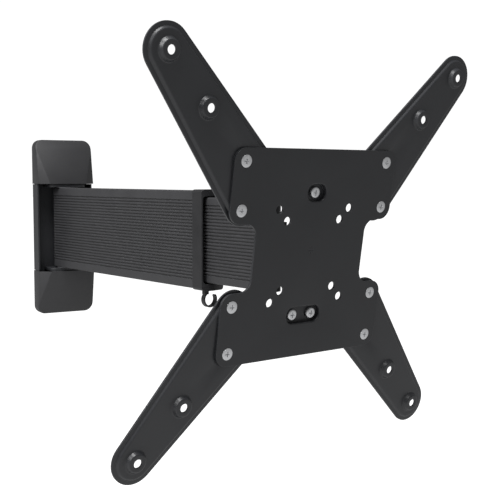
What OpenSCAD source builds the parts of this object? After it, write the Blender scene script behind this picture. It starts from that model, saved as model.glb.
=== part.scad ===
// Full motion wall mount for a flat screen.
// The origin is the centre of the wall channel's back face. +Z is up and the screen side is -Y.
// The arm frame puts X along the arm, Y across it and Z up, with its origin on the wall hinge.
// The screen frame puts X to the right and Y up on the plate, with Z towards the viewer.

/* [Pose] */
// Turn of the arm away from square to the wall, degrees
arm_yaw = 8.7; // [0:0.1:15]
// Downward lean of the screen plate, degrees
head_tilt = 9.2; // [0:0.1:12]

/* [Wall bracket] */
// Height over both covers
bracket_h = 265; // [255:1:290]
// Width over the covers
bracket_w = 87; // [84:1:96]
// Thickness of the channel's web
web_t = 3; // [2:0.5:3]
// How far the channel's side flanges stand off the wall
flange_depth = 22.5; // [16:0.5:24]
// Distance from the wall to the hinge pin
hinge_off = 32.4; // [32:0.1:34]
// Wall thickness of the plastic covers
cover_t = 2; // [1.5:0.1:2.2]
// Depth of the covers at the far end and at the arm end
cover_far_depth = 15; // [14:0.5:18]
cover_near_depth = 41; // [40:0.5:46]

/* [Arms] */
// Height of the outer arm
outer_h = 120; // [120:1:121]
// Thickness of the outer arm
outer_w = 30; // [29:0.5:31]
// Distance from the wall hinge to the collar
outer_reach = 352; // [320:1:360]
// Height of the inner arm
inner_h = 104; // [103:0.5:104]
// Thickness of the inner arm
inner_w = 18; // [17:0.5:18]
// Distance from the wall hinge to the head's swivel pin
inner_reach = 480.5; // [470:0.5:500]
// Height of one rib and its groove
rib_pitch = 4; // [4:0.5:5]
// Depth of the grooves between the ribs
rib_depth = 0.8; // [0.4:0.1:1]

/* [Head] */
// Distance from the swivel pin to the tilt bolt
tilt_gap = 27.5; // [27:0.5:32]
// Distance from the tilt bolt to the front of the centre plate
tilt_back = 40; // [40:0.5:46]

/* [Screen plate] */
// Hole squares for the screen, largest first
vesa_outer = 400; // [390:1:420]
vesa_inner = 300; // [290:1:310]
vesa_mid = 100; // [96:1:104]
vesa_small = 75; // [73:1:77]
// Radius of the holes in the arms and in the centre plate
arm_hole_r = 4.6; // [3:0.1:5]
plate_hole_r = 4.8; // [3:0.1:5]
// Thickness of the centre plate and of the arms' sheet
plate_t = 2.5; // [2:0.1:3]
sheet_t = 2; // [1.5:0.1:2]
// Width of the flange around each arm
flange_w = 4.3; // [3:0.1:5]
// Height and width of the step from the flange to the raised panel
step_h = 2.8; // [2.2:0.1:3.5]
step_w = 2.2; // [1.5:0.1:2.6]
// Height of the pressed bosses around the arm holes
boss_h = 4.8; // [4:0.1:5]

/* [Hidden] */
$fn = 64;
eps = 0.01;
fit = 0.05;     // radial clearance of a pin in its bore
gap = 0.3;      // clearance between faces that pass each other

// colours
coat = [0.23, 0.23, 0.24];
cover_grey = [0.27, 0.27, 0.28];
rib_black = [0.20, 0.20, 0.21];
plastic_black = [0.13, 0.13, 0.14];
zinc = [0.85, 0.86, 0.88];
nylon = [0.72, 0.72, 0.70];

// wall bracket
ear_half_w = 28;
ear_t = 4;
ear_in = 61.2;                          // inner face of the ears, up from the middle
ear_out = ear_in + ear_t;
cover_in = ear_out + 0.2;
flange_t = 2.5;
flange_half = bracket_w / 2 - 0.5;
pin_r = 5;
bush_r = 8;
lag_rows = [84, 112];                   // heights of the wall screw holes
lag_r = 4.5;

// outer arm
nose_x = -12;                           // centre of the rounded tail
solid_end = 26;                         // the tube is solid up to here
wall_z = 5.5;
wall_y = 3;
mouth_x = outer_reach + 8;              // the tube ends inside the collar
collar_len = 19;
collar_bulge = 4;
collar_w = outer_w + 3;
collar_h = outer_h + 3;
glide_len = 40;
hook_r = 8;
hook_t = 2;
hook_w = 6;
hook_drop = 11.7;                       // hook centre below the collar

// inner arm
tail_x = 210;                           // rear end of the inner tube
web_x = inner_reach - 14;             // front end of the ribbed tube
lug_in = 35;
lug_r = 12;
stroke = 75;
stop_x = 300;

// head
block_h = 31;
tongue_w = 26;
cheek_in = tongue_w / 2 + 1.7;
cheek_t = 3;
tilt_r = 4;
plate_back = 9;                         // back of the pocket floors to the tilt plate
tilt_plate_t = 3;
level_y = 67;
level_x = 13.5;
bolt_r = 3;

// screen plate
tab_r = 14;
tab_x = 100.5;
tab_y = 50;
corner_y = 99.5;
waist_half = 78;
tab_low = tab_y - tab_r;
fillet_r = 13.5;
screw_x = 100;
screw_rows = [50, 100];
pocket_depth = 6;
pocket_h = 18.5;
pocket_wall = 2;
// corner circles of one arm's outline: centre and radius, anticlockwise
blade = [[[200, 200], 25.3], [[72, 93], 14.5], [[95, 56], 22.7]];

// ---------- frames ----------

module in_arm(x = 0) {
    translate([0, -hinge_off, 0])
        rotate([0, 0, arm_yaw - 90])
            translate([x, 0, 0])
                children();
}

module in_tilt() {
    in_arm(inner_reach + tilt_gap)
        rotate([0, head_tilt, 0])
            children();
}

// screen frame, with Z = 0 on the front of the centre plate
module in_screen() {
    in_tilt()
        translate([tilt_back, 0, 0])
            rotate([90, 0, 90])
                children();
}

// a section drawn with X across the arm and Y up, drawn out along the arm
module along_arm(x0, x1) {
    translate([x0, 0, 0])
        rotate([90, 0, 90])
            linear_extrude(x1 - x0)
                children();
}

module both_ends() {
    children();
    mirror([0, 0, 1])
        children();
}

// ---------- shared outlines ----------

function arc(c, r, a0, a1, n = 6) =
    [for (i = [0 : n]) let (a = a0 + (a1 - a0) * i / n) [c[0] + r * cos(a), c[1] + r * sin(a)]];

// right half of a ribbed section, from the bottom up
function rib_side(h, w, count) =
    let (z0 = -(count - 1) / 2 * rib_pitch, x = w / 2)
    [for (i = [0 : count - 1]) let (z = z0 + i * rib_pitch)
        each [[x, z - 1], [x - rib_depth, z - 0.5], [x - rib_depth, z + 0.5], [x, z + 1]]];

function ribbed_half(h, w, count, r) =
    concat([[0, -h / 2]], arc([w / 2 - r, r - h / 2], r, -90, 0), rib_side(h, w, count),
        arc([w / 2 - r, h / 2 - r], r, 0, 90), [[0, h / 2]]);

function flip_x(points) = [for (i = [len(points) - 1 : -1 : 0]) [-points[i][0], points[i][1]]];

module ribbed_section(h, w, count, r) {
    half = ribbed_half(h, w, count, r);
    polygon(concat(half, flip_x(half)));
}

module rounded_rect(w, h, r) {
    square([w, h - 2 * r], center = true);
    square([w - 2 * r, h], center = true);
    for (x = [-1, 1], y = [-1, 1])
        translate([x * (w / 2 - r), y * (h / 2 - r)])
            circle(r);
}

module obround(w, h) {
    square([w - h, h], center = true);
    for (x = [-1, 1])
        translate([x * (w - h) / 2, 0])
            circle(h / 2);
}

// angle of the outward normal of the line that touches two circles, first to second
function touch_angle(a, b) =
    let (d = b[0] - a[0])
    atan2(d[1], d[0]) - 90 + asin((a[1] - b[1]) / norm(d));
function on_circle(c, a) = c[0] + c[1] * [cos(a), sin(a)];

// straight-sided outline round three circles given anticlockwise
module three_circles(c) {
    for (k = c)
        translate(k[0])
            circle(k[1]);
    polygon([for (i = [0 : 2]) let (a = touch_angle(c[i], c[(i + 1) % 3]))
        each [on_circle(c[i], a), on_circle(c[(i + 1) % 3], a)]]);
}

// ---------- wall bracket ----------

module wall_plate() {
    color(coat)
        difference() {
            union() {
                rotate([90, 0, 0])
                    linear_extrude(web_t)
                        rounded_rect(81, bracket_h - 6, 13);
                for (x = [-flange_half, flange_half - flange_t])
                    translate([x, -flange_depth, -cover_in])
                        cube([flange_t, flange_depth, 2 * cover_in]);
                for (x = [-flange_half, 40])
                    translate([x, -web_t, -cover_in])
                        cube([flange_half - 40, web_t, 2 * cover_in]);
            }
            for (z = lag_rows, s = [-1, 1])
                translate([0, 1, s * z])
                    rotate([90, 0, 0])
                        cylinder(h = web_t + 2, r = lag_r);
        }
}

// hinge lug with its front corners rounded and a bore for the pin
module ear() {
    front = cover_near_depth - 2.2;
    color(coat)
        translate([0, 0, ear_in])
            difference() {
                union() {
                    translate([-ear_half_w, -front + 8, 0])
                        cube([2 * ear_half_w, front - 8 - web_t, ear_t]);
                    translate([-ear_half_w + 8, -front, 0])
                        cube([2 * ear_half_w - 16, front - web_t, ear_t]);
                    for (x = [-1, 1])
                        translate([x * (ear_half_w - 8), -front + 8, 0])
                            cylinder(h = ear_t, r = 8);
                }
                translate([0, -hinge_off, -1])
                    cylinder(h = ear_t + 2, r = pin_r + fit);
            }
}

module upper_ear() ear();
module lower_ear() mirror([0, 0, 1]) ear();

// upright rod with rounded ends, used as a corner of the cover
module soft_corner(x, y, z, r) {
    translate([x, y, z])
        sphere(r, $fn = 24);
}

// tapering cover: shallow and square at the far end, deep with canted sides by the arm
module cover_form(inset) {
    r = 2.5 - inset / 2;
    top = bracket_h / 2 - inset - r;
    half = bracket_w / 2 - inset - r;
    far = -(cover_far_depth - inset - r);
    near = -(cover_near_depth - inset - r);
    low = cover_in + (inset > 0 ? -3 : r);
    hull() {
        for (x = [-1, 1]) {
            soft_corner(x * (half - 3), far, top - 9, r);
            soft_corner(x * (half - 6), far, top - 4, r);
            soft_corner(x * (half - 12), far, top, r);
            soft_corner(x * half, -29 + inset + r, low, r);
            soft_corner(x * (28.5 - inset - r), near, low, r);
            translate([x * (half - 9.5), 0, top - 9.5])
                rotate([90, 0, 0])
                    cylinder(h = 2, r = 9.5 + r, $fn = 32);
            translate([x * half - r, -2, low - (inset > 0 ? 0 : r)])
                cube([2 * r, 2, 2]);
        }
    }
}

module cover() {
    color(cover_grey)
        difference() {
            cover_form(0);
            translate([0, eps, 0])
                cover_form(cover_t);
            translate([-bracket_w, 0, 0])
                cube([2 * bracket_w, 10, bracket_h]);
        }
}

module upper_cover() cover();
module lower_cover() mirror([0, 0, 1]) cover();

module hinge_pin() {
    length = 2 * ear_out + 1.6;
    color(zinc)
        translate([0, -hinge_off, 0])
            rotate_extrude()
                polygon([[0, -length / 2], [pin_r - 0.6, -length / 2], [pin_r, 0.6 - length / 2],
                    [pin_r, length / 2 - 0.6], [pin_r - 0.6, length / 2], [0, length / 2]]);
}

// thin washers between the arm and the ears
module hinge_washers() {
    color(nylon)
        translate([0, -hinge_off, 0])
            both_ends()
                translate([0, 0, outer_h / 2 + 0.05])
                    difference() {
                        cylinder(h = 0.85, r = 16);
                        translate([0, 0, -1])
                            cylinder(h = 3, r = pin_r + 2 * fit);
                    }
}

// ---------- outer arm ----------

module hinge_bushes() {
    color(nylon)
        in_arm()
            both_ends()
                translate([0, 0, outer_h / 2 - 20])
                    difference() {
                        cylinder(h = 20, r = bush_r);
                        translate([0, 0, -1])
                            cylinder(h = 22, r = pin_r + fit);
                    }
}

module outer_tube() {
    color(rib_black)
        in_arm()
            difference() {
                union() {
                    along_arm(nose_x, mouth_x)
                        ribbed_section(outer_h, outer_w, 25, 1.5);
                    translate([nose_x, 0, 0])
                        rotate([0, 0, 90])
                            rotate_extrude(angle = 180)
                                polygon(ribbed_half(outer_h, outer_w, 25, 1.5));
                }
                along_arm(solid_end, mouth_x + 1)
                    rounded_rect(outer_w - 2 * wall_y, outer_h - 2 * wall_z, 2);
                cylinder(h = outer_h + 2, r = pin_r + 0.5, center = true);
                both_ends()
                    translate([0, 0, outer_h / 2 - 20])
                        cylinder(h = 21, r = bush_r);
                translate([stop_x, 0, -outer_h / 2 - 1])
                    cylinder(h = wall_z + 2, r = tilt_r);
                translate([outer_reach + 4, 0, -outer_h / 2 - 1])
                    cylinder(h = wall_z + 2, r = 1.65);
            }
}

module collar() {
    bulge_r = (pow(collar_w / 2, 2) + pow(collar_bulge, 2)) / (2 * collar_bulge);
    color(coat)
        in_arm(outer_reach)
            difference() {
                intersection() {
                    along_arm(0, collar_len + collar_bulge)
                        rounded_rect(collar_w, collar_h, 4);
                    translate([collar_len + collar_bulge - bulge_r, 0, 0])
                        cylinder(h = collar_h + 2, r = bulge_r, center = true, $fn = 128);
                }
                along_arm(-1, 8.1)
                    rounded_rect(outer_w + 0.1, outer_h + 0.1, 1.5);
                along_arm(5, collar_len + collar_bulge + 1)
                    rounded_rect(collar_w - 4, 107, 4.5);
                translate([4, 0, -outer_h / 2 - 3])
                    cylinder(h = 4, r = 1.65);
            }
}

module collar_screw() {
    color(plastic_black)
        in_arm(outer_reach + 4)
            translate([0, 0, -collar_h / 2])
                mirror([0, 0, 1]) difference() {
                    union() {
                        cylinder(h = 1.4, r = 2.8);
                        translate([0, 0, -6])
                            cylinder(h = 6.5, r = 1.6);
                    }
                    translate([0, 0, 0.5])
                        cylinder(h = 1, r = 1.2, $fn = 6);
                }
}

// slide liner fixed in the mouth of the outer tube
module front_glide() {
    color(nylon)
        in_arm()
            difference() {
                along_arm(mouth_x - glide_len, mouth_x - 1)
                    rounded_rect(outer_w - 2 * wall_y, outer_h - 2 * wall_z, 2);
                along_arm(mouth_x - glide_len - 1, mouth_x)
                    rounded_rect(inner_w + 2 * gap, inner_h + 2 * gap, 1.5);
            }
}

// flush screw that runs in a slot in the inner tube and sets its travel
module stop_screw() {
    color(zinc)
        in_arm(stop_x)
            difference() {
                translate([0, 0, -outer_h / 2 + 0.2])
                    cylinder(h = 10.5, r = tilt_r);
                translate([0, 0, -outer_h / 2 - 1])
                    cylinder(h = 4, r = 2.3, $fn = 6);
            }
}

// open cable ring under the collar, with the base strip it hangs from
module cable_hook() {
    ring_z = -collar_h / 2 - hook_drop;
    color(plastic_black)
        in_arm(outer_reach + collar_len / 2 - 0.5) {
            translate([0, 0, ring_z])
                rotate([90, 0, 90])
                    rotate([0, 0, 115])
                        rotate_extrude(angle = 278)
                            translate([hook_r, 0])
                                square([hook_t, hook_w]);
            translate([0, -8.5, -collar_h / 2 - 1.4])
                cube([hook_w, 15, 1.4]);
            translate([0.01, -8.5, -collar_h / 2 - 5.2])
                cube([hook_w - 0.02, 5.9, 4.5]);
        }
}

// ---------- inner arm ----------

module inner_tube() {
    slot = stroke + 2 * tilt_r + 2;
    color(rib_black)
        in_arm()
            difference() {
                along_arm(tail_x, web_x)
                    ribbed_section(inner_h, inner_w, 22, 1.5);
                along_arm(tail_x - 1, web_x + 1)
                    rounded_rect(inner_w - 6, inner_h - 8, 1);
                translate([stop_x + stroke / 2, 0, -inner_h / 2 - 1])
                    linear_extrude(6)
                        obround(slot, 2 * tilt_r + 1.2);
                for (x = [web_x - 24, web_x - 10])
                    translate([x, 0, 0])
                        cylinder(h = inner_h + 2, r = 2, center = true);
            }
}

// shoe on the tail of the inner tube that rides inside the outer tube
module rear_glide() {
    color(nylon)
        in_arm()
            difference() {
                along_arm(tail_x - 3, tail_x + 30)
                    rounded_rect(outer_w - 2 * wall_y - 2 * gap, outer_h - 2 * wall_z - 2 * gap, 1.8);
                along_arm(tail_x - eps, tail_x + 31)
                    rounded_rect(inner_w + 0.04, inner_h + 0.04, 1.5);
                along_arm(tail_x - 4, tail_x + 1)
                    rounded_rect(inner_w - 6, inner_h - 8, 1);
            }
}

// forked casting in the end of the inner tube that carries the swivel pin
module arm_end() {
    color(coat)
        in_arm()
            difference() {
                union() {
                    along_arm(web_x - 34, web_x + 1)
                        rounded_rect(inner_w - 6, inner_h - 8, 1);
                    both_ends() {
                        translate([web_x, -inner_w / 2, lug_in])
                            cube([inner_reach - web_x, inner_w, inner_h / 2 - lug_in]);
                        translate([inner_reach, 0, lug_in])
                            cylinder(h = inner_h / 2 - lug_in, r = lug_r);
                    }
                }
                translate([inner_reach, 0, 0])
                    cylinder(h = inner_h + 2, r = pin_r + 0.02, center = true);
                translate([inner_reach, 0, 0])
                    cylinder(h = 2 * lug_in, r = lug_r, center = true);
                for (x = [web_x - 24, web_x - 10])
                    translate([x, 0, 0])
                        cylinder(h = inner_h + 2, r = 2, center = true);
            }
}

module end_rivets() {
    color(plastic_black)
        in_arm()
            for (x = [web_x - 24, web_x - 10])
                translate([x, 0, 0])
                    both_ends()
                        translate([0, 0, inner_h / 2 - 11.8])
                            cylinder(h = 12, r = 1.95);
}

module swivel_pin() {
    color(zinc)
        in_arm(inner_reach) {
            cylinder(h = inner_h, r = pin_r, center = true);
            both_ends()
                translate([0, 0, inner_h / 2])
                    cylinder(h = 3, r1 = 8.5, r2 = 6.5);
        }
}

// ---------- swivel head ----------

module swivel_washers() {
    color(nylon)
        in_arm(inner_reach)
            both_ends()
                translate([0, 0, block_h + 0.05])
                    difference() {
                        cylinder(h = lug_in - block_h - gap, r = 7);
                        translate([0, 0, -1])
                            cylinder(h = 6, r = pin_r + 2 * fit);
                    }
}

// block that turns on the swivel pin and holds the tilt bolt in its tongue
module swivel_block() {
    color(coat)
        in_arm(inner_reach)
            difference() {
                union() {
                    cylinder(h = 2 * block_h, r = 11, center = true);
                    translate([0, -11, -block_h + 4.5])
                        cube([16, 22, 2 * block_h - 9]);
                    translate([4, -tongue_w / 2, -13])
                        cube([tilt_gap - 4, tongue_w, 26]);
                    translate([tilt_gap, 0, 0])
                        rotate([90, 0, 0])
                            cylinder(h = tongue_w, r = 13, center = true);
                }
                cylinder(h = 2 * block_h + 2, r = pin_r + fit, center = true);
                translate([tilt_gap, 0, 0])
                    rotate([90, 0, 0])
                        cylinder(h = tongue_w + 2, r = tilt_r + fit, center = true);
            }
}

// ---------- tilt head ----------

module tilt_washers() {
    color(nylon)
        in_tilt()
            for (s = [-1, 1])
                translate([0, s * (cheek_in - 0.75), 0])
                    rotate([90, 0, 0])
                        difference() {
                            cylinder(h = 1.4, r = 12, center = true);
                            cylinder(h = 3, r = tilt_r + fit, center = true);
                        }
}

module tilt_bolt() {
    head_y = -cheek_in - cheek_t;
    color(zinc)
        in_tilt()
            rotate([90, 0, 0]) {
                translate([0, 0, head_y - 9])
                    cylinder(h = -2 * head_y + 9, r = tilt_r);
                translate([0, 0, -head_y])
                    difference() {
                        cylinder(h = 5.5, r = 7);
                        translate([0, 0, 2])
                            cylinder(h = 4, r = 3.2, $fn = 6);
                    }
            }
}

// hand knob with six lobes on the far end of the tilt bolt
module tilt_knob() {
    color(plastic_black)
        in_tilt()
            translate([0, cheek_in + cheek_t + 0.05, 0])
                rotate([-90, 0, 0])
                    difference() {
                        union() {
                            cylinder(h = 4, r = 6.4);
                            translate([0, 0, 3.5])
                                linear_extrude(10)
                                    for (i = [0 : 5])
                                        rotate(60 * i) {
                                            circle(10.5);
                                            translate([10, 0])
                                                circle(3.4);
                                        }
                        }
                        translate([0, 0, -1])
                            cylinder(h = 10.2, r = tilt_r + 0.02);
                    }
}

module tilt_bracket() {
    front = tilt_back - plate_back;
    back = front - tilt_plate_t;
    cheek = [[[0, 0], 13], [[back - 1, -28], 4], [[back - 1, 28], 4]];
    color(coat)
        in_tilt()
            difference() {
                union() {
                    translate([back, 0, 0])
                        rotate([90, 0, 90])
                            linear_extrude(tilt_plate_t) {
                                rounded_rect(44, 2 * level_y + 24, 8);
                                translate([0, -level_y])
                                    rounded_rect(2 * level_x + 22, 24, 8);
                            }
                    for (s = [-1, 1])
                        translate([0, s * (cheek_in + cheek_t / 2), 0])
                            rotate([90, 0, 0])
                                linear_extrude(cheek_t, center = true)
                                    intersection() {
                                        three_circles(cheek);
                                        translate([-20, -40])
                                            square([20 + back + eps, 80]);
                                    }
                }
                rotate([90, 0, 0])
                    cylinder(h = 60, r = tilt_r + fit, center = true);
                for (p = level_points())
                    translate([back - 1, p[0], p[1]])
                        rotate([0, 90, 0])
                            cylinder(h = tilt_plate_t + 2, r = bolt_r + fit);
            }
}

function level_points() = [[0, level_y], [-level_x, -level_y], [level_x, -level_y]];

// pan-head bolts that clamp the centre plate to the tilt bracket
module level_bolts() {
    top = -2;
    under = -pocket_depth + gap;
    color(zinc)
        in_screen()
            for (p = level_points())
                translate([p[0], p[1], 0])
                    difference() {
                        rotate_extrude()
                            polygon(concat([[0, -22], [bolt_r, -22], [bolt_r, under], [6.3, under],
                                [6.3, under + 1.6]], arc([4.3, top - 2], 2, 0, 90), [[0, top]]));
                        cross_cut(top, 2.2);
                    }
}

module level_nuts() {
    color(zinc)
        in_screen()
            for (p = level_points())
                translate([p[0], p[1], -plate_back - tilt_plate_t - 5.05])
                    difference() {
                        cylinder(h = 5, r = 5.77, $fn = 6);
                        translate([0, 0, -1])
                            cylinder(h = 7, r = bolt_r);
                    }
}

// crossed slots of a screwdriver recess, cut down from the given height
module cross_cut(top, depth) {
    for (a = [0, 90])
        rotate([0, 0, a])
            translate([0, 0, top - depth])
                rotate([90, 0, 0])
                    linear_extrude(1.1, center = true)
                        polygon([[-1, 0], [1, 0], [3.2, depth + 0.1], [-3.2, depth + 0.1]]);
}

// ---------- screen plate ----------

module plate_outline() {
    difference() {
        union() {
            square([2 * waist_half, 2 * corner_y], center = true);
            for (s = [-1, 1], t = [-1, 1]) {
                translate([s * tab_x, t * corner_y])
                    circle(tab_r);
                translate([s * tab_x, t * tab_y])
                    circle(tab_r);
                translate([s * (waist_half + fillet_r / 2), t * (tab_low - fillet_r / 2)])
                    square([fillet_r, fillet_r], center = true);
            }
            for (t = [-1, 1]) {
                translate([0, t * (tab_y + corner_y) / 2])
                    square([2 * (tab_x + tab_r), corner_y - tab_y], center = true);
                translate([0, t * (tab_low + corner_y + tab_r) / 2])
                    square([2 * tab_x, corner_y + tab_r - tab_low], center = true);
            }
        }
        for (s = [-1, 1], t = [-1, 1])
            translate([s * (waist_half + fillet_r), t * (tab_low - fillet_r)])
                circle(fillet_r);
    }
}

// quarter-round flare that softens the mouth of a pocket
module pocket_flare(w, h, r) {
    flare = concat([[0, 0.5], [h / 2 + r, 0.5]], arc([h / 2 + r, -r], r, 90, 180), [[0, -r]]);
    for (s = [-1, 1])
        translate([s * (w - h) / 2, 0, 0])
            rotate([0, 0, s * 90 + 180])
                rotate_extrude(angle = 180)
                    polygon(flare);
    translate([(w - h) / 2, 0, 0])
        rotate([90, 0, -90])
            linear_extrude(w - h)
                polygon(concat(flare, flip_x(flare)));
}

module pocket_cut(w, y) {
    translate([0, y, -pocket_depth])
        linear_extrude(pocket_depth + 1)
            obround(w, pocket_h);
    translate([0, y, 0])
        pocket_flare(w, pocket_h, 1.6);
}

// slot that follows the turn of the plate about its middle
module level_slot(p) {
    r = norm(p);
    a = atan2(p[1], p[0]);
    rotate([0, 0, a - 3.4])
        rotate_extrude(angle = 6.8)
            translate([r - bolt_r - 0.3, -10])
                square([2 * bolt_r + 0.6, 8]);
    for (d = [-3.4, 3.4])
        rotate([0, 0, a + d])
            translate([r, 0, -10])
                cylinder(h = 8, r = bolt_r + 0.3);
}

module centre_plate() {
    color(coat)
        in_screen()
            difference() {
                union() {
                    translate([0, 0, -plate_t])
                        linear_extrude(plate_t)
                            plate_outline();
                    for (k = [[27, level_y], [48, -level_y]])
                        translate([0, k[1], -pocket_depth - 2.5])
                            linear_extrude(pocket_depth + 1)
                                obround(k[0] + 2 * pocket_wall, pocket_h + 2 * pocket_wall);
                }
                pocket_cut(27, level_y);
                pocket_cut(48, -level_y);
                for (p = level_points())
                    level_slot(p);
                for (side = [vesa_mid, vesa_small], s = [-1, 1], t = [-1, 1])
                    translate([s * side / 2, t * side / 2, -plate_t - 1])
                        cylinder(h = plate_t + 2, r = plate_hole_r);
                for (y = screw_rows, s = [-1, 1], t = [-1, 1])
                    translate([s * screw_x, t * y, 0])
                        rotate_extrude()
                            polygon([[0, 1], [6.7, 1], [6.7, -0.25], [bolt_r + 0.1, -2.3],
                                [bolt_r + 0.1, -plate_t - 1], [0, -plate_t - 1]]);
                // small cross at the middle of the plate for lining up the screen
                translate([0, 5, -0.4]) {
                    translate([-0.45, -4.5, 0])
                        cube([0.9, 9, 1]);
                    translate([-3.5, -0.45, 0])
                        cube([7, 0.9, 1]);
                }
            }
}

// block round the three corners of an arm, drawn in by in0 at z0 and by in1 at z1
module blade_form(z0, in0, z1, in1) {
    hull()
        for (c = blade)
            translate([c[0][0], c[0][1], z0])
                cylinder(h = z1 - z0, r1 = c[1] - in0, r2 = c[1] - in1, $fn = 72);
}

// sheet with a raised panel inside a flat flange, with the panel's face at Z = 0
module blade_pan() {
    base = -step_h - sheet_t;
    slope = norm([step_h, step_w]);
    lean = step_w / step_h;
    edge = flange_w + step_w + sheet_t * slope / step_h;
    difference() {
        union() {
            blade_form(base, 0, -step_h, 0);
            blade_form(-step_h - 0.5, flange_w - 0.5 * lean, 0, flange_w + step_w);
        }
        blade_form(base - 0.5, edge + lean * (base - 0.5), -sheet_t, edge - lean * sheet_t);
    }
}

// pressed boss round an arm hole, standing towards the screen
module boss(x, y) {
    translate([x, y, 0])
        rotate_extrude()
            polygon([[13, 0], [11.6, 0.5], [9.4, boss_h - 0.5], [8.6, boss_h], [0, boss_h],
                [0, boss_h - sheet_t], [7.9, boss_h - sheet_t], [10.6, -sheet_t], [13, -sheet_t]]);
}

module boss_clear(x, y) {
    translate([x, y, -sheet_t - 1])
        cylinder(h = sheet_t + 2, r = 11);
}

// one screen arm, drawn for the top right corner with its face at Z = -plate_t
module screen_arm() {
    translate([0, 0, -plate_t])
        difference() {
            union() {
                difference() {
                    blade_pan();
                    for (v = [vesa_outer, vesa_inner])
                        boss_clear(v / 2, v / 2);
                }
                for (v = [vesa_outer, vesa_inner])
                    boss(v / 2, v / 2);
            }
            for (v = [vesa_outer, vesa_inner])
                translate([v / 2, v / 2, -5])
                    cylinder(h = 15, r = arm_hole_r);
            for (y = screw_rows)
                translate([screw_x, y, -5])
                    cylinder(h = 10, r = bolt_r + 0.1);
        }
}

module arm_top_right() color(coat) in_screen() screen_arm();
module arm_top_left() color(coat) in_screen() mirror([1, 0, 0]) screen_arm();
module arm_bottom_right() color(coat) in_screen() mirror([0, 1, 0]) screen_arm();
module arm_bottom_left() color(coat) in_screen() mirror([1, 0, 0]) mirror([0, 1, 0]) screen_arm();

// flush cross-recess screws that hold the arms to the centre plate
module arm_screws() {
    color(zinc)
        in_screen()
            for (y = screw_rows, s = [-1, 1], t = [-1, 1])
                translate([s * screw_x, t * y, 0])
                    difference() {
                        rotate_extrude()
                            polygon([[0, -10], [bolt_r, -10], [bolt_r, -2.1], [6.5, -0.1], [6.5, 0.2],
                                [5.4, 0.45], [3.6, 0.65], [0, 0.75]]);
                        cross_cut(0.7, 2);
                    }
}

module arm_nuts() {
    color(zinc)
        in_screen()
            for (y = screw_rows, s = [-1, 1], t = [-1, 1])
                translate([s * screw_x, t * y, -plate_t - sheet_t - 5.05])
                    difference() {
                        cylinder(h = 5, r = 5.77, $fn = 6);
                        translate([0, 0, -1])
                            cylinder(h = 7, r = bolt_r);
                    }
}

wall_plate();
upper_ear();
lower_ear();
upper_cover();
lower_cover();
hinge_pin();
hinge_washers();
hinge_bushes();
outer_tube();
collar();
collar_screw();
front_glide();
stop_screw();
cable_hook();
inner_tube();
rear_glide();
arm_end();
end_rivets();
swivel_pin();
swivel_washers();
swivel_block();
tilt_bolt();
tilt_knob();
tilt_washers();
tilt_bracket();
level_bolts();
level_nuts();
centre_plate();
arm_top_left();
arm_top_right();
arm_bottom_left();
arm_bottom_right();
arm_screws();
arm_nuts();
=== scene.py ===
import math
import bmesh
import bpy
from mathutils import Matrix, Vector


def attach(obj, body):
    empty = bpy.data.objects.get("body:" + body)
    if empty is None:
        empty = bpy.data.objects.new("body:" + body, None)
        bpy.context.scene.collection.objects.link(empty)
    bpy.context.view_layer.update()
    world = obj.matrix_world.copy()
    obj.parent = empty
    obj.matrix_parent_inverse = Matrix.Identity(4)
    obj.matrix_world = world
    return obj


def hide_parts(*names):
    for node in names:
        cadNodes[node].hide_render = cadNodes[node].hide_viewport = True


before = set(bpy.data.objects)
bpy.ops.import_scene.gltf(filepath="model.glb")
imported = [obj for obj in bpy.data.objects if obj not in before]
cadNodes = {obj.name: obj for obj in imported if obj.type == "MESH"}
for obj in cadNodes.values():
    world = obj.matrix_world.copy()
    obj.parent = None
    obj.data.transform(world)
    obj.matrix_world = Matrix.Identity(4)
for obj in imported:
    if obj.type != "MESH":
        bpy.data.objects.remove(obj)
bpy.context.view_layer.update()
print("frame loaded:", len(cadNodes), "CAD nodes")


# ---- placing: the same turns as in the part's source, in metres ----

layout = {
    "armYaw": 8.7,         # turn of the arm, degrees
    "headTilt": 9.2,       # lean of the plate, degrees
    "hingeOff": 0.0324,    # wall to hinge pin
    "tiltReach": 0.508,    # hinge pin to tilt bolt
    "tiltBack": 0.040,     # tilt bolt to plate front
}


def turn(degrees, axis):
    return Matrix.Rotation(math.radians(degrees), 4, axis)


armPlace = Matrix.Translation((0, -layout["hingeOff"], 0)) @ turn(layout["armYaw"] - 90, "Z")
tiltPlace = armPlace @ Matrix.Translation((layout["tiltReach"], 0, 0)) @ turn(layout["headTilt"], "Y")
# on the plate X runs right, Y up and Z towards the screen, with Z = 0 on its front
platePlace = (tiltPlace @ Matrix.Translation((layout["tiltBack"], 0, 0))
              @ turn(90, "Z") @ turn(90, "X"))


# ---- materials ----

def hexColour(code):
    parts = [int(code[i:i + 2], 16) / 255 for i in (1, 3, 5)]
    return tuple(p / 12.92 if p <= 0.04045 else ((p + 0.055) / 1.055) ** 2.4 for p in parts) + (1.0,)


def addNode(tree, kind, settings=None, links=None):
    made = tree.nodes.new(kind)
    for key, value in (settings or {}).items():
        if isinstance(key, int) or key in made.inputs:
            made.inputs[key].default_value = value
        else:
            setattr(made, key, value)
    for key, socket in (links or {}).items():
        tree.links.new(socket, made.inputs[key])
    return made


def addRamp(tree, socket, stops):
    ramp = addNode(tree, "ShaderNodeValToRGB", {}, {"Fac": socket})
    marks = ramp.color_ramp.elements
    while len(marks) < len(stops):
        marks.new(0.5)
    for mark, (place, colour) in zip(marks, stops):
        mark.position = place
        mark.color = hexColour(colour)
    return ramp


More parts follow.
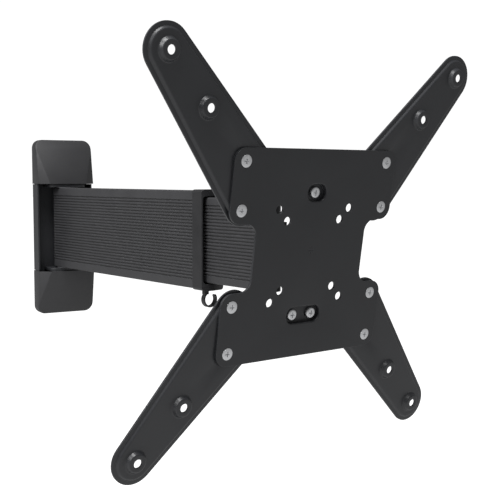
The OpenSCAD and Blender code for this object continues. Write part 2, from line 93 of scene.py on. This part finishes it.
# finish: colours, roughness, sizes in millimetres
def makeFinish(name, look):
    finish = bpy.data.materials.new(name)
    finish.use_nodes = True
    tree = finish.node_tree
    shader = tree.nodes["Principled BSDF"]
    shader.inputs["Metallic"].default_value = look.get("metallic", 0.0)
    if "ior" in look:
        shader.inputs["IOR"].default_value = look["ior"]
    if "coat" in look:
        shader.inputs["Coat Weight"].default_value = look["coat"]
        shader.inputs["Coat Roughness"].default_value = look.get("coatRoughness", 0.2)
    place = addNode(tree, "ShaderNodeTexCoord")
    stretch = addNode(tree, "ShaderNodeMapping", {"Rotation": (0, 0, math.radians(look.get("turn", 0))),
                      "Scale": look.get("stretch", (1, 1, 1))}, {"Vector": place.outputs["Object"]})
    cloud = addNode(tree, "ShaderNodeTexNoise", {"Scale": 1000 / look["cloudSize"], "Detail": 3.0,
                    "Roughness": 0.55}, {"Vector": place.outputs["Object"]})
    grain = addNode(tree, "ShaderNodeTexNoise", {"Scale": 1000 / look["grainSize"], "Detail": 2.0,
                    "Roughness": 0.5}, {"Vector": stretch.outputs["Vector"]})
    blend = addNode(tree, "ShaderNodeMath", {"operation": "MULTIPLY_ADD", 1: look.get("grainMix", 0.35)},
                    {0: grain.outputs["Fac"], 2: cloud.outputs["Fac"]})
    # painted highlight and wear: lightens the colour along edges, partly where the coat runs thinner and
    # partly where light would catch them; pieces with modelled rounds need none
    facing = addNode(tree, "ShaderNodeNewGeometry")
    edge = facing
    if look["edgeRadius"]:
        edge = addNode(tree, "ShaderNodeBevel", {"samples": 8, "Radius": look["edgeRadius"] / 1000})
    same = addNode(tree, "ShaderNodeVectorMath", {"operation": "DOT_PRODUCT"},
                   {0: edge.outputs["Normal"], 1: facing.outputs["Normal"]})
    wornAndHighlit = addNode(tree, "ShaderNodeMapRange", {"From Min": 0.999, "From Max": 0.86, "To Min": 0.0,
                   "To Max": look.get("edgeWearHighlightAmount", 0.5)}, {"Value": same.outputs["Value"]})
    shades = look["shades"]
    tone = addRamp(tree, blend.outputs["Value"], [(0.35, shades[0]), (0.62, shades[1]), (0.95, shades[2])])
    toneWithEdgeHighlight = addNode(tree, "ShaderNodeMix", {"data_type": "RGBA"})
    tree.links.new(wornAndHighlit.outputs["Result"], toneWithEdgeHighlight.inputs[0])
    tree.links.new(tone.outputs["Color"], toneWithEdgeHighlight.inputs[6])
    # edge colour: wear on the coat and a painted highlight
    toneWithEdgeHighlight.inputs[7].default_value = hexColour(look["edgeWearHighlightColour"])
    surface = toneWithEdgeHighlight.outputs[2]
    if "grooves" in look:
        # painted shade: darkens the colour, nearly to black, where the AO node finds narrow grooves,
        # standing in for the shade that falls in them
        deep = addNode(tree, "ShaderNodeAmbientOcclusion", {"samples": 8,
                       "Distance": look["grooves"] / 1000})
        shaded = addNode(tree, "ShaderNodeMapRange", {"From Min": 0.62, "From Max": 0.93, "To Min": 0.03,
                         "To Max": 1.0}, {"Value": deep.outputs["AO"]})
        paintedGrooveShadeMix = addNode(tree, "ShaderNodeMix", {"data_type": "RGBA", "blend_type": "MULTIPLY", 0: 1.0})
        tree.links.new(surface, paintedGrooveShadeMix.inputs[6])
        tree.links.new(shaded.outputs["Result"], paintedGrooveShadeMix.inputs[7])
        surface = paintedGrooveShadeMix.outputs[2]
    tree.links.new(surface, shader.inputs["Base Color"])
    low, high = look["roughness"]
    rough = addNode(tree, "ShaderNodeMapRange", {"From Min": 0.3, "From Max": 0.9, "To Min": low,
                    "To Max": high}, {"Value": blend.outputs["Value"]})
    tree.links.new(rough.outputs["Result"], shader.inputs["Roughness"])
    bump = addNode(tree, "ShaderNodeBump", {"Strength": look["bump"], "Distance": look["bumpDepth"] / 1000},
                   {"Height": grain.outputs["Fac"], "Normal": edge.outputs["Normal"]})
    tree.links.new(bump.outputs["Normal"], shader.inputs["Normal"])
    return finish


finishes = {
    # satin epoxy powder coat on pressed steel: soft sheen, faint orange peel
    "powderCoatedSteel": {"shades": ("#242528", "#28292c", "#2c2d30"), "edgeWearHighlightColour": "#545558",
                          "roughness": (0.40, 0.47), "cloudSize": 60, "grainSize": 2.2, "bump": 0.10,
                          "bumpDepth": 0.3, "edgeRadius": 0.7, "edgeWearHighlightAmount": 0.35, "ior": 1.5},
    # the same coat on the arm pressings, whose bends and rims are modelled; painted light: its colours are
    # a lighter copy of the plate's coat, standing in for the brighter light on the arms
    "powderCoatedPressingLitCopy": {"shades": ("#2a2b2e", "#2e2f32", "#323336"), "edgeWearHighlightColour": "#545558",
                             "roughness": (0.32, 0.39), "cloudSize": 60, "grainSize": 2.2, "bump": 0.06,
                             "bumpDepth": 0.2, "edgeRadius": 0, "ior": 1.5},
    # matt coat on an aluminium extrusion: die lines run along the arm
    "coatedExtrusion": {"shades": ("#303032", "#353537", "#3a3a3c"), "edgeWearHighlightColour": "#77777a",
                        # painted shade in the rib grooves; the AO reach is in millimetres
                        "grooves": 2.5,
                        "roughness": (0.38, 0.50), "cloudSize": 45, "grainSize": 3.0, "bump": 0.03,
                        "bumpDepth": 0.05, "edgeRadius": 0.35, "edgeWearHighlightAmount": 0.8, "ior": 1.5,
                        "turn": 81.3, "stretch": (0.04, 1.0, 1.0)},
    # die-cast aluminium under the same coat: a little coarser
    "coatedCasting": {"shades": ("#1f1f21", "#242426", "#29292b"), "edgeWearHighlightColour": "#474749",
                      "roughness": (0.45, 0.58), "cloudSize": 25, "grainSize": 1.6, "bump": 0.25,
                      "bumpDepth": 0.35, "edgeRadius": 1.0, "edgeWearHighlightAmount": 0.3, "ior": 1.5},
    # moulded ABS with a fine spark-eroded grain: even, dull highlights
    "mouldedAbs": {"shades": ("#28282a", "#2c2c2e", "#303032"), "edgeWearHighlightColour": "#4e4e50",
                   "roughness": (0.44, 0.54), "cloudSize": 50, "grainSize": 1.4, "bump": 0.16,
                   "bumpDepth": 0.2, "edgeRadius": 0, "ior": 1.54},
    # moulded glass-filled nylon: smooth and slightly waxy
    "mouldedNylon": {"shades": ("#1a1a1c", "#1f1f21", "#242426"), "edgeWearHighlightColour": "#404042",
                     "roughness": (0.36, 0.46), "cloudSize": 20, "grainSize": 1.8, "bump": 0.08,
                     "bumpDepth": 0.2, "edgeRadius": 0.8, "edgeWearHighlightAmount": 0.3, "ior": 1.53},
    # grey acetal bearings: dense, with a soft shine
    "turnedAcetal": {"shades": ("#47474a", "#4e4e51", "#555558"), "edgeWearHighlightColour": "#6a6a6d",
                     "roughness": (0.30, 0.42), "cloudSize": 12, "grainSize": 1.0, "bump": 0.05,
                     "bumpDepth": 0.1, "edgeRadius": 0.3, "edgeWearHighlightAmount": 0.2, "ior": 1.48},
    # bright zinc plate on cold-headed steel: pale and slightly cloudy
    "zincPlatedSteel": {"shades": ("#c9cacc", "#d9dadc", "#e8e9eb"), "edgeWearHighlightColour": "#f4f5f7",
                        "roughness": (0.34, 0.48), "cloudSize": 5, "grainSize": 0.9, "bump": 0.05,
                        "bumpDepth": 0.1, "edgeRadius": 0.25, "edgeWearHighlightAmount": 0.5, "metallic": 1.0},
    # black oxide on small steel fasteners
    "blackOxideSteel": {"shades": ("#1c1c1e", "#222224", "#28282a"), "edgeWearHighlightColour": "#3c3c3e",
                        "roughness": (0.35, 0.48), "cloudSize": 6, "grainSize": 0.9, "bump": 0.06,
                        "bumpDepth": 0.1, "edgeRadius": 0.3, "edgeWearHighlightAmount": 0.4, "metallic": 0.6},
}
made = {name: makeFinish(name, look) for name, look in finishes.items()}
print("finishes made:", len(made))


# ---- CAD nodes that stay: a finish, and smooth shading between near-flat faces ----

crispAngle = 0.6    # faces that meet more steeply than this, in radians, keep a hard edge


def makeSmoothing():
    group = bpy.data.node_groups.new("smoothByAngle", "GeometryNodeTree")
    group.interface.new_socket("Geometry", in_out="INPUT", socket_type="NodeSocketGeometry")
    group.interface.new_socket("Geometry", in_out="OUTPUT", socket_type="NodeSocketGeometry")
    start = addNode(group, "NodeGroupInput")
    merged = addNode(group, "GeometryNodeMergeByDistance", {"Distance": 0.000002},
                     {"Geometry": start.outputs[0]})
    soft = addNode(group, "GeometryNodeSetShadeSmooth", {"domain": "FACE", "Shade Smooth": True},
                   {"Geometry": merged.outputs[0]})
    angle = addNode(group, "GeometryNodeInputMeshEdgeAngle")
    steep = addNode(group, "FunctionNodeCompare", {"data_type": "FLOAT", "operation": "GREATER_THAN",
                    1: crispAngle}, {0: angle.outputs["Unsigned Angle"]})
    crisp = addNode(group, "GeometryNodeSetShadeSmooth", {"domain": "EDGE", "Shade Smooth": False},
                    {"Geometry": soft.outputs[0], "Selection": steep.outputs[0]})
    end = addNode(group, "NodeGroupOutput")
    group.links.new(crisp.outputs[0], end.inputs[0])
    return group


smoothing = makeSmoothing()


def smoothOut(piece):
    step = piece.modifiers.new("smoothByAngle", "NODES")
    step.node_group = smoothing


# the covers and the screen arms get pieces of their own further down
cadFinishes = {
    "powderCoatedSteel": ["wall_plate", "upper_ear", "lower_ear", "tilt_bracket", "centre_plate"],
    "coatedExtrusion": ["outer_tube", "inner_tube"],
    "coatedCasting": ["arm_end", "swivel_block"],
    "mouldedNylon": ["collar", "cable_hook", "tilt_knob"],
    "turnedAcetal": ["hinge_washers", "hinge_bushes", "front_glide", "rear_glide", "swivel_washers",
                     "tilt_washers"],
    "zincPlatedSteel": ["hinge_pin", "stop_screw", "swivel_pin", "tilt_bolt", "level_bolts", "level_nuts",
                        "arm_screws", "arm_nuts"],
    "blackOxideSteel": ["collar_screw", "end_rivets"],
}
for finishName, names in cadFinishes.items():
    for name in names:
        node = cadNodes[name]
        node.data.materials.clear()
        node.data.materials.append(made[finishName])
        smoothOut(node)
print("CAD nodes finished")


# ---- helpers for new pieces ----

def newPiece(name, mesh, finishName, body, nodes):
    data = bpy.data.meshes.new(name)
    mesh.to_mesh(data)
    mesh.free()
    piece = bpy.data.objects.new(name, data)
    bpy.context.scene.collection.objects.link(piece)
    data.materials.append(made[finishName])
    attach(piece, body)
    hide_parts(*nodes)
    return piece


# gives a sheet its wall, on the side its faces turn away from, and rounds its rims
def thicken(piece, wall, edgeRound, even):
    sheet = piece.modifiers.new("sheetWall", "SOLIDIFY")
    sheet.thickness = wall
    sheet.offset = -1
    sheet.use_even_offset = even
    soft = piece.modifiers.new("edgeRound", "BEVEL")
    soft.width = edgeRound
    soft.segments = 2
    soft.limit_method = "ANGLE"
    soft.angle_limit = math.radians(60)
    soft.use_clamp_overlap = True
    smoothOut(piece)


flatRun = 0.0003    # a narrow strip beside each bend keeps the flats flat when shaded


# rounds each inner corner of a profile; corners are (across, up, radius)
def roundProfile(corners, steps):
    line = [Vector(corners[0][:2])]
    for before, here, after in zip(corners, corners[1:], corners[2:]):
        spot = Vector(here[:2])
        back = (Vector(before[:2]) - spot).normalized()
        on = (Vector(after[:2]) - spot).normalized()
        half = math.acos(max(-1, min(1, back.dot(on)))) / 2
        reach = here[2] / math.tan(half)
        middle = spot + (back + on).normalized() * (here[2] / math.sin(half))
        first, last = spot + back * reach - middle, spot + on * reach - middle
        line.append(spot + back * (reach + flatRun))
        for i in range(steps + 1):
            line.append(middle + first.slerp(last, i / steps).normalized() * here[2])
        line.append(spot + on * (reach + flatRun))
    line.append(Vector(corners[-1][:2]))
    return line


# draws a loop of edges inwards, towards the centre each point keeps, and up
def stepIn(mesh, lines, centres, inset, rise):
    grown = bmesh.ops.extrude_edge_only(mesh, edges=lines)["geom"]
    points = {g for g in grown if isinstance(g, bmesh.types.BMVert)}
    for point in points:
        centre = Vector(point[centres])
        inwards = Vector((centre.x - point.co.x, centre.y - point.co.y, 0)).normalized()
        point.co += inwards * inset + Vector((0, 0, rise))
    return [g for g in grown if isinstance(g, bmesh.types.BMEdge) and set(g.verts) <= points]


def followProfile(mesh, lines, centres, profile):
    for before, here in zip(profile, profile[1:]):
        lines = stepIn(mesh, lines, centres, here[0] - before[0], here[1] - before[1])
    return lines


def ringAt(mesh, centres, place, radius, segments):
    ring = bmesh.ops.create_circle(mesh, cap_ends=False, segments=segments, radius=radius,
                                   matrix=Matrix.Translation(place))["verts"]
    for point in ring:
        point[centres] = place
    return list({line for point in ring for line in point.link_edges})


# ---- screen arms: flat panel in a stepped flange, with two bosses drawn towards the screen ----

armSheet = {
    "corners": [((200, 200), 25.3), ((72, 93), 14.5), ((95, 56), 22.7)],
    "panelFace": -2.5, "stepHeight": 2.8, "flangeWidth": 4.3, "stepWidth": 2.2, "wall": 2.0,
    "flangeBend": 0.7, "panelBend": 2.4, "panelRun": 3.0, "bosses": [200, 150], "bossRadius": 13.4,
    "bossTop": 8.6, "bossHeight": 4.8, "bossFoot": 1.4, "bossBend": 1.6, "bossShoulder": 0.8,
    "bossFlat": 1.2, "hole": 4.6, "screwHoles": [(100, 50), (100, 100)], "screwHole": 3.1,
    "edgeRound": 0.45, "arcSteps": 22, "bendSteps": 4, "bossSteps": 5,
}


# outer line of the sheet: an arc round each corner, spun from one point, and straight runs between
def drawArmOutline(mesh, centres, height):
    corners = [(Vector(place) / 1000, radius / 1000) for place, radius in armSheet["corners"]]
    arcs = []
    for i, (place, radius) in enumerate(corners):
        ends = []
        for one, other in ((corners[i - 1], corners[i]), (corners[i], corners[(i + 1) % 3])):
            along = other[0] - one[0]
            tilt = math.asin((one[1] - other[1]) / along.length)
            ends.append(math.atan2(along.y, along.x) - math.pi / 2 + tilt)
        centre = (place.x, place.y, height)
        start = mesh.verts.new((place.x + radius * math.cos(ends[0]),
                                place.y + radius * math.sin(ends[0]), height))
        before = len(mesh.verts) - 1
        bmesh.ops.spin(mesh, geom=[start], cent=centre, axis=(0, 0, 1),
                       angle=(ends[1] - ends[0]) % (2 * math.pi), steps=armSheet["arcSteps"])
        mesh.verts.ensure_lookup_table()
        arc = list(mesh.verts)[before:]
        for point in arc:
            point[centres] = centre
        arcs.append(arc)
    for i in range(3):
        mesh.edges.new((arcs[i - 1][-1], arcs[i][0]))
    return list(mesh.edges)


def makeArm(name, flipX, flipY, node):
    look = {key: value / 1000 for key, value in armSheet.items() if isinstance(value, float)}
    mesh = bmesh.new()
    centres = mesh.verts.layers.float_vector.new("centre")
    face, rise = look["panelFace"], look["stepHeight"]
    outline = drawArmOutline(mesh, centres, face - rise)
    stepEnd = look["flangeWidth"] + look["stepWidth"]
    profile = roundProfile([(0, 0), (look["flangeWidth"], 0, look["flangeBend"]),
                            (stepEnd, rise, look["panelBend"]), (stepEnd + look["panelRun"], rise)],
                           armSheet["bendSteps"])
    panelEdge = followProfile(mesh, outline, centres, profile)
    bossWidth = look["bossRadius"] - look["bossTop"]
    bossProfile = roundProfile([(0, 0), (look["bossFoot"], 0, look["bossBend"]),
                                (bossWidth - look["bossShoulder"], look["bossHeight"], look["bossBend"]),
                                (bossWidth + look["bossFlat"], look["bossHeight"])], armSheet["bossSteps"])
    holes = []
    for spot in armSheet["bosses"]:
        ring = ringAt(mesh, centres, (spot / 1000, spot / 1000, face), look["bossRadius"], 56)
        holes += ring
        top = followProfile(mesh, ring, centres, bossProfile)
        stepIn(mesh, top, centres, look["bossRadius"] - bossProfile[-1][0] - look["hole"], 0)
    for across, up in armSheet["screwHoles"]:
        holes += ringAt(mesh, centres, (across / 1000, up / 1000, face), look["screwHole"], 24)
    bmesh.ops.triangle_fill(mesh, use_beauty=True, use_dissolve=False, edges=panelEdge + holes)
    mesh.verts.layers.float_vector.remove(centres)
    bmesh.ops.transform(mesh, matrix=Matrix.Diagonal((flipX, flipY, 1, 1)), verts=list(mesh.verts))
    bmesh.ops.recalc_face_normals(mesh, faces=list(mesh.faces))
    if sum(each.normal.z * each.calc_area() for each in mesh.faces) < 0:
        bmesh.ops.reverse_faces(mesh, faces=list(mesh.faces))
    bmesh.ops.transform(mesh, matrix=platePlace, verts=list(mesh.verts))
    # the arms take the lighter, painted-light copy of the plate's coat
    piece = newPiece(name, mesh, "powderCoatedPressingLitCopy", "screen_plate", [node])
    thicken(piece, look["wall"], look["edgeRound"], True)


makeArm("armTopRight", 1, 1, "arm_top_right")
makeArm("armTopLeft", -1, 1, "arm_top_left")
makeArm("armBottomRight", 1, -1, "arm_bottom_right")
makeArm("armBottomLeft", -1, -1, "arm_bottom_left")
print("screen arms pressed")


# ---- hinge covers: a canted shell, shallow at its far end and deep by the arm ----

coverShell = {
    "halfWidth": 43.5, "near": 66.1, "far": 132.5, "farDepth": 15.0, "shoulderDepth": 29.0,
    "nearDepth": 40.7, "nearHalf": 28.5, "ridgeTip": 118.0, "cornerRound": 12.0, "ridgeRound": 0.9,
    "wall": 2.0,
    "rimRound": 0.5,
}


def makeCover(name, side, node):
    look = {key: value / 1000 for key, value in coverShell.items()}
    tiny = 0.00001
    mesh = bmesh.new()
    taper = (look["nearDepth"] - look["farDepth"]) / (look["far"] - look["near"])
    tipDepth = look["farDepth"] + taper * (look["far"] - look["ridgeTip"])
    outline = [(look["halfWidth"], 0, look["near"]), (look["halfWidth"], 0, look["far"]),
               (look["halfWidth"], look["farDepth"], look["far"]),
               (look["halfWidth"], tipDepth, look["ridgeTip"]),
               (look["halfWidth"], look["shoulderDepth"], look["near"]),
               (look["nearHalf"], look["nearDepth"], look["near"])]
    for x in (-1, 1):
        for across, depth, height in outline:
            mesh.verts.new((x * across, -depth, side * height))
    bmesh.ops.convex_hull(mesh, input=list(mesh.verts))
    bmesh.ops.dissolve_limit(mesh, angle_limit=0.01, verts=list(mesh.verts), edges=list(mesh.edges))
    bmesh.ops.recalc_face_normals(mesh, faces=list(mesh.faces))

    # the back and the side by the arm stay open
    def isOpen(points):
        return (all(p.co.y > -tiny for p in points)
                or all(side * p.co.z < look["near"] + tiny for p in points))

    corners = [line for line in mesh.edges if all(side * p.co.z > look["far"] - tiny for p in line.verts)
               and abs(line.verts[0].co.x - line.verts[1].co.x) < tiny]
    bmesh.ops.bevel(mesh, geom=corners, offset=look["cornerRound"], offset_type="OFFSET", segments=10,
                    profile=0.5, affect="EDGES", material=-1)
    ridges = [line for line in mesh.edges if len(line.link_faces) == 2
              and line.calc_face_angle() > 0.2 and not isOpen(line.verts)]
    bmesh.ops.bevel(mesh, geom=ridges, offset=look["ridgeRound"], offset_type="OFFSET", segments=3,
                    profile=0.5, affect="EDGES", material=-1)
    spare = [each for each in mesh.faces if isOpen(each.verts)]
    bmesh.ops.delete(mesh, geom=spare, context="FACES")
    piece = newPiece(name, mesh, "mouldedAbs", "wall_bracket", [node])
    thicken(piece, look["wall"], look["rimRound"], False)


makeCover("upperCoverShell", 1, "upper_cover")
makeCover("lowerCoverShell", -1, "lower_cover")
print("hinge covers moulded")


# ---- room, lights and camera ----

room = {"floorHeight": -0.62, "size": 30.0, "white": "#ffffff"}
floorMesh = bmesh.new()
bmesh.ops.create_grid(floorMesh, x_segments=1, y_segments=1, size=room["size"],
                      matrix=Matrix.Translation((0, 0, room["floorHeight"])))
floorData = bpy.data.meshes.new("studioFloor")
floorMesh.to_mesh(floorData)
floorMesh.free()
studioFloor = bpy.data.objects.new("studioFloor", floorData)
bpy.context.scene.collection.objects.link(studioFloor)
paper = bpy.data.materials.new("whitePaper")
paper.use_nodes = True
paperTree = paper.node_tree
paperShader = paperTree.nodes["Principled BSDF"]
paperShader.inputs["Roughness"].default_value = 0.9
paperNoise = addNode(paperTree, "ShaderNodeTexNoise", {"Scale": 40.0})
paperTone = addRamp(paperTree, paperNoise.outputs["Fac"], [(0.3, "#b4b4b4"), (0.7, "#bababa")])
paperTree.links.new(paperTone.outputs["Color"], paperShader.inputs["Base Color"])
paperShader.inputs["Emission Color"].default_value = (1, 1, 1, 1)
paperSeen = addNode(paperTree, "ShaderNodeLightPath")
paperGlow = addNode(paperTree, "ShaderNodeMath", {"operation": "MULTIPLY_ADD", 1: 0.75, 2: 0.27},
                    {0: paperSeen.outputs["Is Camera Ray"]})
paperTree.links.new(paperGlow.outputs[0], paperShader.inputs["Emission Strength"])
floorData.materials.append(paper)

world = bpy.data.worlds.new("studioAir")
world.use_nodes = True
bpy.context.scene.world = world
airTree = world.node_tree
dim = airTree.nodes["Background"]
dim.inputs["Color"].default_value = (1, 1, 1, 1)
dim.inputs["Strength"].default_value = 0.24
bright = addNode(airTree, "ShaderNodeBackground", {"Color": (1, 1, 1, 1), "Strength": 1.05})
seen = addNode(airTree, "ShaderNodeLightPath")
either = addNode(airTree, "ShaderNodeMixShader", {}, {0: seen.outputs["Is Camera Ray"],
                 1: dim.outputs[0], 2: bright.outputs[0]})
airTree.links.new(either.outputs[0], airTree.nodes["World Output"].inputs["Surface"])


def addSoftbox(name, place, target, size, power):
    data = bpy.data.lights.new(name, "AREA")
    data.shape = "RECTANGLE"
    data.size, data.size_y = size
    data.energy = power
    lamp = bpy.data.objects.new(name, data)
    lamp.location = place
    lamp.rotation_euler = (Vector(target) - Vector(place)).to_track_quat("-Z", "Y").to_euler()
    bpy.context.scene.collection.objects.link(lamp)


headPlace = (0.08, -0.5, 0.0)
addSoftbox("keyLeft", (-1.7, -0.7, 1.3), headPlace, (0.9, 0.9), 36)
addSoftbox("rimTop", (-0.45, -0.85, 1.6), headPlace, (0.7, 0.7), 26)

lens = {"place": (-0.4774, -1.4123, 0.0772), "heading": (0.5010, 0.8655), "pitch": -4.467,
        "focal": 67.76}
cameraData = bpy.data.cameras.new("roomCamera")
cameraData.lens = lens["focal"]
cameraData.sensor_width = 36
cameraData.clip_end = 100
camera = bpy.data.objects.new("roomCamera", cameraData)
camera.location = lens["place"]
drop = math.radians(lens["pitch"])
ahead = Vector((lens["heading"][0] * math.cos(drop), lens["heading"][1] * math.cos(drop), math.sin(drop)))
camera.rotation_euler = ahead.to_track_quat("-Z", "Y").to_euler()
bpy.context.scene.collection.objects.link(camera)
bpy.context.scene.camera = camera
bpy.context.scene.view_settings.view_transform = "Standard"
print("room, lights and camera placed")
